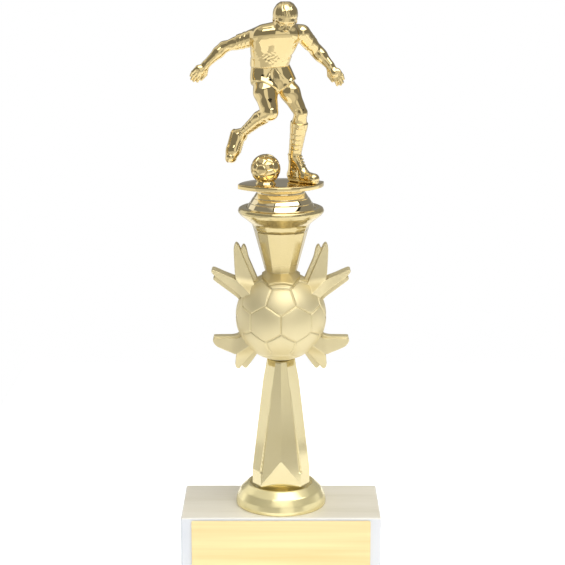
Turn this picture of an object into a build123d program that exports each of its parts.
from build123d import *
import os
from math import atan, cos, degrees, radians, sin

# Figure trophy. Millimetres, +Z up, front towards -Y.
# The origin is on the surface the trophy stands on, on the axis of its tie rod.

# ---- driving dimensions -----------------------------------------------------------------
# marble block and what is fixed to it
base_width = 104.0
base_depth = 50.8
base_top = 31.75
base_chamfer = 0.6
pad_thickness = 1.6
pad_radius = 5.5
pad_inset = 8.0
counterbore_radius = 14.0
counterbore_top = 13.6
rod_hole_radius = 3.6
plate_width = 93.0
plate_height = 28.0
plate_thickness = 0.5
plate_corner = 0.8
plate_top_margin = 1.5
film_thickness = 0.15
film_margin = 1.5

# 1/4-20 tie rod and its hardware
rod_radius = 3.175
rod_bottom = 3.6
rod_top = 199.4
thread_pitch = 1.27
thread_depth = 0.55
thread_turns = 10
washer_radius = 12.7
washer_thickness = 1.5
lock_radius = 6.0
lock_thickness = 1.6
lock_gap = 1.2
nut_across_flats = 11.1
nut_thickness = 5.5
nut_bore_radius = 3.22
rod_guide_radius = 3.4

# foot collar
collar_radius = 23.8
collar_band_top = 33.6
collar_lip_top = 43.2
collar_lip_radius = 17.5
collar_wall = 2.0
collar_floor = 40.6
collar_floor_radius = 13.2

# lower column: ridged front and back, four slanting strips and two flat sides
column_bottom = 44.0
column_flare_end = 52.0
column_top = 110.6
column_top_ridge = 7.7
column_ridge_slope = 0.12
column_face_slope = 0.286
column_strip_angle = 57.0
column_edge_top = 2.8
column_edge_foot = 10.5
column_side_top = 8.0
column_side_foot = 15.0
column_spigot_radius = 12.0
chevron_top = 58.0
chevron_half_width = 10.6
groove_top = 100.0
groove_bottom = 51.5
groove_width = 1.7
column_bore_bottom = 10.0
column_bore_top = 4.4
column_web = 4.0

# large ball
ball_center = 133.8
ball_radius = 23.6
ball_wall = 1.8
ball_flat_top = 156.9
ball_boss_radius = 6.0
ball_boss_depth = 3.4

# star wings: depth of the leaf faces in front of and behind the parting plane
leaf_depth = 5.0
side_leaf_depth = 2.8

# upper cup
cup_neck_bottom = 150.0
cup_neck_top = 180.5
cup_neck_radius_low = 6.2
cup_neck_radius_high = 14.4
cup_sides = 12
cup_seat_gap = 0.06
cup_pad_thickness = 0.7
rim_radius = 22.2
rim_top = 191.2
recess_floor = 190.4
recess_radius = 17.75
cup_bore_low = 5.2
cup_bore_high = 11.2
cup_web_low = 2.2
cup_web_high = 3.4

# figure
foot_radius = 17.6
foot_tier_heights = (193.4, 196.0, 198.5)
foot_tier_taper = 1.35
foot_tier_ledge = 0.4
foot_wall = 1.8
foot_boss_radius = 8.6
foot_nut_bottom = 193.2
stand_bottom = 201.3
stand_top = 203.7
stand_half_length = 22.8
stand_half_width = 17.0
stand_yaw = 15.3
stand_center = (0.1, -1.5)
kick_ball_radius = 7.25
kick_ball_place = (-7.8, -5.5)
kick_ring_height = 1.0
kick_ring_radius = 4.6
head_top = 295.2


# ---- helpers ----------------------------------------------------------------------------
def disc(radius, low, high):
    """A round solid on the rod axis between two heights."""
    return Pos(0, 0, low) * extrude(Circle(radius), amount=high - low)


def cone(low_radius, high_radius, low, high):
    """A cone frustum on the rod axis between two heights."""
    frustum = Cone(low_radius, high_radius, high - low, align=(Align.CENTER, Align.CENTER, Align.MIN))
    return Pos(0, 0, low) * frustum


def turned(points):
    """Revolve a closed outline of (radius, height) points about the rod axis."""
    outline = make_face(Plane.XZ * Polyline(*points, close=True))
    return revolve(outline, Axis.Z, 360)


def cut_beyond(solid, point, outward):
    """Cut away what lies beyond a plane through a point with the given outward normal."""
    return split(solid, bisect_by=Plane(origin=point, z_dir=outward), keep=Keep.BOTTOM)


def hex_prism(across_flats, low, high):
    """A hexagonal prism on the rod axis."""
    section = RegularPolygon(across_flats / 2, 6, major_radius=False)
    return Pos(0, 0, low) * extrude(section, amount=high - low)


def save(node, name):
    """Write one node as parts/NAME.step."""
    export_step(node, f"parts/{name}.step")


# ---- marble block -----------------------------------------------------------------------
def marble_base():
    """Block with a chamfered edge all round, a through hole and a counterbore from below."""
    height = base_top - pad_thickness
    block = Pos(0, 0, pad_thickness) * Box(
        base_width, base_depth, height, align=(Align.CENTER, Align.CENTER, Align.MIN)
    )
    block = chamfer(block.edges(), base_chamfer)
    block -= disc(rod_hole_radius, 0, base_top + 1)
    return block - disc(counterbore_radius, 0, counterbore_top)


def front_sheet(width, height, thickness, back_y, corner):
    """A thin upright sheet on the block's front, centred on the engraving plate."""
    middle_z = base_top - plate_top_margin - plate_height / 2
    upright = Plane(origin=(0, back_y, middle_z), x_dir=(1, 0, 0), z_dir=(0, -1, 0))
    section = RectangleRounded(width, height, corner)
    return extrude(upright * section, amount=thickness)


def plate_adhesive():
    width = plate_width - 2 * film_margin
    height = plate_height - 2 * film_margin
    return front_sheet(width, height, film_thickness, -base_depth / 2, plate_corner)


def engraving_plate():
    back_y = -base_depth / 2 - film_thickness
    return front_sheet(plate_width, plate_height, plate_thickness, back_y, plate_corner)


def foot_pad(side_x, side_y):
    """One felt pad near a corner of the block."""
    place_x = side_x * (base_width / 2 - pad_inset)
    place_y = side_y * (base_depth / 2 - pad_inset)
    return Pos(place_x, place_y, 0) * disc(pad_radius, 0, pad_thickness)


# ---- tie rod and hardware ---------------------------------------------------------------
def threaded_end(start, direction):
    """Outline points of ring grooves that stand for a thread, going up or down from a rod end."""
    points = []
    for turn in range(thread_turns):
        crest = start + direction * (0.6 + turn) * thread_pitch
        points.append((rod_radius, crest))
        points.append((rod_radius - thread_depth, crest + direction * thread_pitch / 2))
    return points


def tie_rod():
    lower = threaded_end(rod_bottom, 1)
    upper = threaded_end(rod_top, -1)
    lower_end = lower[-1][1] + thread_pitch / 2
    upper_end = upper[-1][1] - thread_pitch / 2
    end_radius = rod_radius - thread_depth
    outline = [(0, rod_bottom), (end_radius, rod_bottom)] + lower + [(rod_radius, lower_end)]
    outline += [(rod_radius, upper_end)] + upper[::-1] + [(end_radius, rod_top), (0, rod_top)]
    return turned(outline)


def base_washer():
    low = counterbore_top - washer_thickness
    return disc(washer_radius, low, counterbore_top) - disc(rod_guide_radius, low - 1, counterbore_top + 1)


def lock_washer():
    high = counterbore_top - washer_thickness
    low = high - lock_thickness
    ring = disc(lock_radius, low, high) - disc(rod_guide_radius, low - 1, high + 1)
    slot = Pos(lock_radius, 0, (low + high) / 2) * Rot(20, 0, 0) * Box(lock_radius * 1.3, lock_gap, 6)
    return ring - slot


def hex_nut(low):
    """A hexagon nut with turned-down corners, on the rod axis."""
    high = low + nut_thickness
    corner_radius = nut_across_flats / 2 / cos(radians(30))
    flat_radius = nut_across_flats / 2
    bevel = (corner_radius - flat_radius) * 0.8
    round_body = turned([
        (0, low), (flat_radius, low), (corner_radius, low + bevel),
        (corner_radius, high - bevel), (flat_radius, high), (0, high),
    ])
    return (hex_prism(nut_across_flats, low, high) & round_body) - disc(nut_bore_radius, low - 1, high + 1)


def base_nut():
    return hex_nut(counterbore_top - washer_thickness - lock_thickness - nut_thickness)


# ---- collar and column ------------------------------------------------------------------
def foot_collar():
    """Domed ring with a dished top that the column stands in."""
    dome_start = (collar_radius, collar_band_top)
    dome_end = (collar_lip_radius, collar_lip_top)
    bulge = (
        (dome_start[0] + dome_end[0]) / 2 + 1.2,
        (dome_start[1] + dome_end[1]) / 2 + 1.1,
    )
    dish_side = [(collar_floor_radius, collar_floor), (rod_guide_radius, collar_floor)]
    with BuildPart() as ring:
        with BuildSketch(Plane.XZ):
            with BuildLine():
                Polyline((rod_guide_radius, base_top), (collar_radius, base_top), dome_start)
                ThreePointArc(dome_start, bulge, dome_end)
                Polyline(dome_end, (collar_lip_radius - 0.5, collar_lip_top), *dish_side,
                         (rod_guide_radius, base_top))
            make_face()
        revolve(axis=Axis.Z)
    hollow = cone(collar_radius - 2 * collar_wall, collar_floor_radius, base_top - 0.01,
                  collar_floor - collar_wall)
    post = disc(rod_guide_radius + 2.5, base_top - 1, collar_floor)
    return ring.part - (hollow - post)


def ridge_radius(height):
    """Distance of the column's front and back ridges from the axis at a height."""
    return column_top_ridge + column_ridge_slope * (column_top - height)


def flared(top, foot, height):
    """A dimension that grows from the column's top to the end of its flare, and stays so below."""
    share = min(1.0, (column_top - height) / (column_top - column_flare_end))
    return top + (foot - top) * share


def column_edge_point(height):
    """Where the front right face meets the strip beside it."""
    edge = flared(column_edge_top, column_edge_foot, height)
    return Vector(edge, -(ridge_radius(height) - edge * column_face_slope), height)


def strip_distance(height):
    """Distance of the slanting strips from the axis at a height."""
    corner = column_edge_point(height)
    angle = radians(column_strip_angle)
    return corner.X * sin(angle) - corner.Y * cos(angle)


def side_distance(height):
    """Distance of the flat left and right sides from the axis at a height."""
    return flared(column_side_top, column_side_foot, height)


def cut_leaning(solid, from_front, distance, low, high):
    """Cut with a leaning plane whose distance from the axis is given as a function of height."""
    angle = radians(from_front)
    lean = (distance(low) - distance(high)) / (high - low)
    point = Vector(sin(angle), -cos(angle), 0) * distance(low) + Vector(0, 0, low)
    return cut_beyond(solid, point, Vector(sin(angle), -cos(angle), lean))


def edge_groove():
    """A thin wedge along the edge of a front face: nothing at its top, widest at its foot."""
    tip = column_edge_point(groove_top)
    foot = column_edge_point(groove_bottom)
    angle = radians(column_strip_angle)
    along_face = Vector(-1, -column_face_slope, 0).normalized() * groove_width
    along_strip = Vector(cos(angle), sin(angle), 0) * groove_width * 0.6
    outside = Vector(1, -2, 0).normalized() * groove_width
    corners = [foot + along_face, foot + along_strip, foot + outside]
    faces = [Face(Wire.make_polygon(corners))]
    for index in range(3):
        faces.append(Face(Wire.make_polygon([tip, corners[index], corners[(index + 1) % 3]])))
    return Solid(Shell(faces))


def lower_column():
    """Tapered column: ridged front and back with chevrons, slanting strips and flat sides."""
    height = column_top - column_bottom
    size = 4 * column_side_foot
    body = Pos(0, 0, column_bottom) * Box(size, size, height, align=(Align.CENTER, Align.CENTER, Align.MIN))
    ridge_lean = degrees(atan(column_face_slope))
    spans = [(column_flare_end, column_top), (column_bottom, column_flare_end)]
    for half_turn in (0, 180):
        for side in (-1, 1):
            angle = half_turn + side * ridge_lean
            facing = cos(radians(ridge_lean))
            body = cut_leaning(body, angle, lambda z: ridge_radius(z) * facing, column_bottom, column_top)
            for low, high in spans:
                body = cut_leaning(body, half_turn + side * column_strip_angle, strip_distance, low, high)
        for low, high in spans:
            body = cut_leaning(body, half_turn + 90, side_distance, low, high)
    for front in (-1, 1):
        apex = Vector(0, front * ridge_radius(chevron_top), chevron_top)
        depth = front * (ridge_radius(column_bottom) - chevron_half_width * column_face_slope)
        foot = Vector(0, depth, column_bottom)
        outward = Vector(0, front * (apex.Z - foot.Z), abs(apex.Y - foot.Y))
        body = cut_beyond(body, apex, outward)
    groove = edge_groove()
    for mirror_x in (False, True):
        for mirror_y in (False, True):
            wedge = mirror(groove, Plane.YZ) if mirror_x else groove
            wedge = mirror(wedge, Plane.XZ) if mirror_y else wedge
            body -= wedge
    body += disc(column_spigot_radius, collar_floor, column_bottom + 1)
    body -= cone(column_bore_bottom, column_bore_top, collar_floor - 0.01, column_top - column_web)
    return body - disc(rod_guide_radius, collar_floor - 1, column_top + 1)


# ---- large ball with star wings ---------------------------------------------------------
def leaf(outline, depth):
    """One flat leaf: an outline in X and Z about the ball's centre, from the parting plane forwards."""
    flat = make_face(Polyline(*[(x, 0, ball_center + z) for x, z in outline], close=True))
    return extrude(flat, amount=depth, dir=(0, -1, 0))


def root_hump(outline, apex):
    """A faceted hump from the leaves' faces up to the point where the wing meets the ball's front."""
    base = [Vector(x, -leaf_depth / 2, ball_center + z) for x, z in outline]
    top = Vector(apex[0], -apex[1], ball_center + apex[2])
    faces = [Face(Wire.make_polygon(base))]
    for index, corner in enumerate(base):
        faces.append(Face(Wire.make_polygon([corner, base[(index + 1) % len(base)], top])))
    return Solid(Shell(faces))


def upper_wing():
    """Front half of the upper left wing: an upright arm and a sideways arm, each of two leaves."""
    up_leaf = [
        (-23.5, 20.3), (-23.9, 25.4), (-24.4, 35.6), (-24.0, 37.6), (-23.1, 38.6), (-22.0, 37.9),
        (-21.3, 36.6), (-18.9, 30.6), (-13.4, 17.4), (-11.0, 10.0), (-15.1, 12.9),
    ]
    up_side_leaf = [
        (-20.9, 35.0), (-20.0, 37.2), (-19.3, 37.8), (-18.5, 37.2), (-17.8, 35.6), (-16.8, 31.0),
        (-12.3, 20.4), (-9.0, 12.0), (-15.5, 15.0),
    ]
    out_leaf = [
        (-23.5, 20.3), (-29.0, 22.6), (-34.0, 24.9), (-35.3, 25.2), (-36.0, 24.4), (-35.4, 23.2),
        (-34.4, 22.0), (-21.8, 12.4), (-15.0, 4.0), (-12.0, 12.0), (-15.1, 12.9),
    ]
    out_side_leaf = [
        (-33.4, 21.8), (-35.0, 20.7), (-35.1, 19.7), (-34.2, 18.8), (-22.9, 10.3), (-17.0, 3.0),
        (-17.0, 11.0),
    ]
    hump = [(-25.5, 21.5), (-14.0, 19.0), (-10.0, 9.0), (-21.0, 9.0)]
    return [
        leaf(up_leaf, leaf_depth),
        leaf(up_side_leaf, side_leaf_depth),
        leaf(out_leaf, leaf_depth),
        leaf(out_side_leaf, side_leaf_depth),
        root_hump(hump, (-15.4, 12.3, 13.0)),
    ]


def lower_wing():
    """Front half of the lower left wing: a sideways arm and a short hanging arm."""
    out_leaf = [
        (-23.4, -19.8), (-30.0, -17.3), (-33.6, -15.7), (-35.0, -14.0), (-35.6, -12.5), (-35.0, -11.6),
        (-33.8, -11.4), (-22.0, -11.2), (-15.0, -5.0), (-12.0, -13.0),
    ]
    out_side_leaf = [
        (-33.0, -12.4), (-34.7, -11.7), (-35.3, -11.1), (-34.9, -10.7), (-25.0, -10.6), (-22.4, -9.9),
        (-16.0, -4.0), (-17.0, -12.5),
    ]
    down_leaf = [
        (-23.4, -19.8), (-23.9, -25.4), (-23.5, -26.9), (-22.4, -27.7), (-21.3, -27.2), (-20.6, -26.1),
        (-14.6, -19.2), (-9.0, -10.0), (-16.0, -10.0),
    ]
    down_side_leaf = [
        (-20.9, -25.2), (-19.7, -27.1), (-18.5, -27.8), (-17.4, -27.0), (-12.5, -20.0), (-8.0, -10.0),
        (-15.0, -15.0),
    ]
    hump = [(-25.5, -20.5), (-14.0, -19.0), (-10.0, -9.0), (-21.0, -9.0)]
    return [
        leaf(out_leaf, leaf_depth),
        leaf(out_side_leaf, side_leaf_depth),
        leaf(down_leaf, leaf_depth),
        leaf(down_side_leaf, side_leaf_depth),
        root_hump(hump, (-16.0, 11.0, -13.6)),
    ]


def ball_shell():
    """Front half of the large ball, with the front half of its four wings."""
    at_center = Pos(0, 0, ball_center)
    ball = at_center * Sphere(ball_radius)
    ball = split(ball, bisect_by=Plane.XY.offset(ball_flat_top), keep=Keep.BOTTOM)
    ball = split(ball, bisect_by=Plane.XY.offset(column_top), keep=Keep.TOP)
    wings = Part()
    for piece in upper_wing() + lower_wing():
        wings += piece
    wings += mirror(wings, Plane.YZ)
    inside = at_center * Sphere(ball_radius - ball_wall)
    inside -= disc(ball_boss_radius, column_top - 5, column_top + ball_boss_depth)
    inside -= disc(ball_boss_radius, ball_flat_top - ball_boss_depth, ball_flat_top + 5)
    whole = ball + wings - inside
    whole -= disc(rod_guide_radius, ball_center - 2 * ball_radius, ball_center + 2 * ball_radius)
    return split(whole, bisect_by=Plane.XZ, keep=Keep.TOP)


# ---- upper cup --------------------------------------------------------------------------
def cup_neck():
    """Twelve-sided cone with a ridge at the front."""
    height = cup_neck_top - cup_neck_bottom
    low = Rot(0, 0, 90) * RegularPolygon(cup_neck_radius_low, cup_sides)
    high = Pos(0, 0, height) * Rot(0, 0, 90) * RegularPolygon(cup_neck_radius_high, cup_sides)
    return Pos(0, 0, cup_neck_bottom) * loft([low, high])


def cup_rim():
    """Round rim: a hollow curve out of the neck, a rounded nose and a recessed top."""
    neck_end = (cup_neck_radius_high - 0.8, cup_neck_top - 1.0)
    curve_end = (18.4, 184.9)
    nose_start = (20.9, 187.2)
    nose_end = (20.4, rim_top)
    with BuildPart() as rim:
        with BuildSketch(Plane.XZ):
            with BuildLine():
                Polyline((0, recess_floor), (0, neck_end[1]), neck_end)
                ThreePointArc(neck_end, (15.4, 183.0), curve_end)
                Line(curve_end, nose_start)
                ThreePointArc(nose_start, (rim_radius, 189.2), nose_end)
                Polyline(nose_end, (recess_radius, rim_top), (recess_radius, recess_floor), (0, recess_floor))
            make_face()
        revolve(axis=Axis.Z)
    return rim.part


def cup_pad():
    """Eight-sided pad that spreads the neck over the top of the ball."""
    right_side = [(4.6, -14.0), (8.6, -6.5), (8.6, 6.5), (4.6, 14.0)]
    outline = right_side + [(-x, y) for x, y in reversed(right_side)]
    prism = Pos(0, 0, cup_neck_bottom - 2) * extrude(make_face(Polyline(*outline, close=True)), amount=20)
    shell = Pos(0, 0, ball_center) * Sphere(ball_radius + cup_pad_thickness)
    return prism & shell


def upper_cup():
    seat = Pos(0, 0, ball_center) * Sphere(ball_radius + cup_seat_gap)
    seat = split(seat, bisect_by=Plane.XY.offset(ball_flat_top), keep=Keep.BOTTOM)
    body = cup_neck() + cup_rim() + cup_pad()
    body -= seat
    body -= cone(cup_bore_low, cup_bore_high, ball_flat_top + cup_web_low, recess_floor - cup_web_high)
    return body - disc(rod_guide_radius, cup_neck_bottom - 1, rim_top + 1)


# ---- figure -----------------------------------------------------------------------------
def figure_insert_nut():
    return hex_nut(foot_nut_bottom)


def foot_outline():
    """Outside of the stepped foot, from its lower edge up: conical tiers with small ledges."""
    points = []
    radius = foot_radius
    low = recess_floor
    for high in foot_tier_heights:
        points.append((radius, low))
        radius -= foot_tier_taper
        points.append((radius, high))
        radius -= foot_tier_ledge
        low = high + 0.1
    points.append((radius, low))
    points.append((radius, stand_bottom))
    return points


def stepped_foot():
    outside = foot_outline()
    body = turned([(0, recess_floor)] + outside + [(0, stand_bottom)])
    neck_radius = outside[-1][0]
    hollow_top = foot_tier_heights[-1]
    hollow = cone(foot_radius - foot_wall, neck_radius - foot_wall, recess_floor - 0.01, hollow_top)
    hollow -= disc(foot_boss_radius, recess_floor - 1, stand_bottom)
    body -= hollow
    body -= disc(foot_boss_radius + 0.01, recess_floor - 1, recess_floor + 0.5)
    pocket = hex_prism(nut_across_flats, recess_floor - 1, foot_nut_bottom + nut_thickness)
    return body - pocket - disc(rod_hole_radius, recess_floor - 1, rod_top + 0.6)


def stand_plate():
    """Pointed oval plate: the overlap of two discs, turned a little towards the front left."""
    arc_radius = (stand_half_length ** 2 + stand_half_width ** 2) / (2 * stand_half_width)
    shift = arc_radius - stand_half_width
    section = (Pos(0, shift) * Circle(arc_radius)) & (Pos(0, -shift) * Circle(arc_radius))
    plate = extrude(section, amount=stand_top - stand_bottom)
    return Pos(*stand_center, stand_bottom) * Rot(0, 0, stand_yaw) * plate


def kick_ball():
    """Small ball on a low flared ring."""
    middle = stand_top + kick_ring_height + kick_ball_radius - 0.5
    ring = Cone(kick_ring_radius + 0.9, kick_ring_radius, kick_ring_height + 1.0,
                align=(Align.CENTER, Align.CENTER, Align.MIN))
    body = Pos(*kick_ball_place, stand_top) * ring
    return body + Pos(*kick_ball_place, middle) * Sphere(kick_ball_radius)


def limb(start, end, start_radius, end_radius):
    """A tapered limb segment with round ends."""
    start = Vector(*start)
    end = Vector(*end)
    along = Plane(origin=start, z_dir=end - start)
    length = (end - start).length
    shaft = along * Cone(start_radius, end_radius, length, align=(Align.CENTER, Align.CENTER, Align.MIN))
    ends = Pos(start) * Sphere(start_radius) + Pos(end) * Sphere(end_radius)
    return shaft + ends


def player():
    """Running player, head down, standing on the left leg with the right leg swung back."""
    head = (2.1, -8.8, head_top - 7.2)
    chin = (2.1, -9.0, head_top - 10.8)
    neck = (1.2, -5.0, 281.0)
    chest = (-3.0, -5.2, 275.4)
    waist = (-5.8, -0.6, 264.4)
    pelvis = (-4.6, -0.4, 257.6)
    shoulder_right = (-12.6, -3.4, 277.4)
    elbow_right = (-28.6, 0.0, 272.2)
    wrist_right = (-37.6, -2.0, 263.9)
    hand_right = (-42.0, -2.6, 258.4)
    shoulder_left = (10.4, -2.8, 279.2)
    elbow_left = (18.0, 3.0, 270.2)
    wrist_left = (24.6, 0.6, 263.2)
    hand_left = (28.4, -1.4, 257.2)
    hip_right = (-8.4, -0.8, 257.4)
    thigh_right = (-8.0, -4.6, 250.2)
    knee_right = (-5.5, -9.0, 240.6)
    ankle_right = (-20.2, 2.0, 228.2)
    toe_right = (-25.2, -0.2, 217.0)
    hip_left = (-0.6, -0.2, 257.4)
    thigh_left = (4.7, -1.8, 249.6)
    knee_left = (10.0, -2.8, 239.6)
    ankle_left = (6.9, 2.0, 216.4)
    heel_left = (5.9, 4.6, stand_top + 2.4)
    toe_left = (16.2, -6.0, stand_top + 2.4)
    segments = [
        (chest, waist, 9.0, 8.2),
        (waist, pelvis, 8.2, 8.6),
        (chest, shoulder_right, 7.4, 4.4),
        (chest, shoulder_left, 7.4, 4.6),
        (neck, head, 4.0, 5.8),
        (head, chin, 7.2, 5.6),
        (shoulder_right, elbow_right, 4.2, 2.8),
        (elbow_right, wrist_right, 2.8, 1.9),
        (wrist_right, hand_right, 1.9, 2.2),
        (shoulder_left, elbow_left, 4.4, 3.0),
        (elbow_left, wrist_left, 3.0, 2.0),
        (wrist_left, hand_left, 2.0, 2.2),
        (hip_right, thigh_right, 6.8, 6.0),
        (thigh_right, knee_right, 6.0, 4.2),
        (knee_right, ankle_right, 4.0, 2.3),
        (ankle_right, toe_right, 2.9, 2.7),
        (hip_left, thigh_left, 6.9, 5.2),
        (thigh_left, knee_left, 5.2, 3.4),
        (knee_left, ankle_left, 3.9, 2.9),
        (ankle_left, heel_left, 2.9, 2.8),
        (heel_left, toe_left, 2.8, 2.6),
    ]
    body = limb(*segments[0])
    for segment in segments[1:]:
        body += limb(*segment)
    return split(body, bisect_by=Plane.XY.offset(stand_top), keep=Keep.TOP)


# ---- write the nodes --------------------------------------------------------------------
def main():
    os.makedirs("parts", exist_ok=True)
    save(marble_base(), "marble_base")
    save(plate_adhesive(), "plate_adhesive")
    save(engraving_plate(), "engraving_plate")
    for side_x, side_name in ((-1, "left"), (1, "right")):
        for side_y, end_name in ((-1, "front"), (1, "back")):
            save(foot_pad(side_x, side_y), f"foot_pad_{end_name}_{side_name}")
    save(tie_rod(), "tie_rod")
    save(base_washer(), "base_washer")
    save(lock_washer(), "lock_washer")
    save(base_nut(), "base_nut")
    save(foot_collar(), "foot_collar")
    save(lower_column(), "lower_column")
    front_shell = ball_shell()
    save(front_shell, "ball_front_shell")
    save(mirror(front_shell, Plane.XZ), "ball_back_shell")
    save(upper_cup(), "upper_cup")
    save(figure_insert_nut(), "figure_insert_nut")
    save(stepped_foot(), "stepped_foot")
    save(stand_plate(), "stand_plate")
    save(kick_ball(), "kick_ball")
    save(player(), "player")


main()
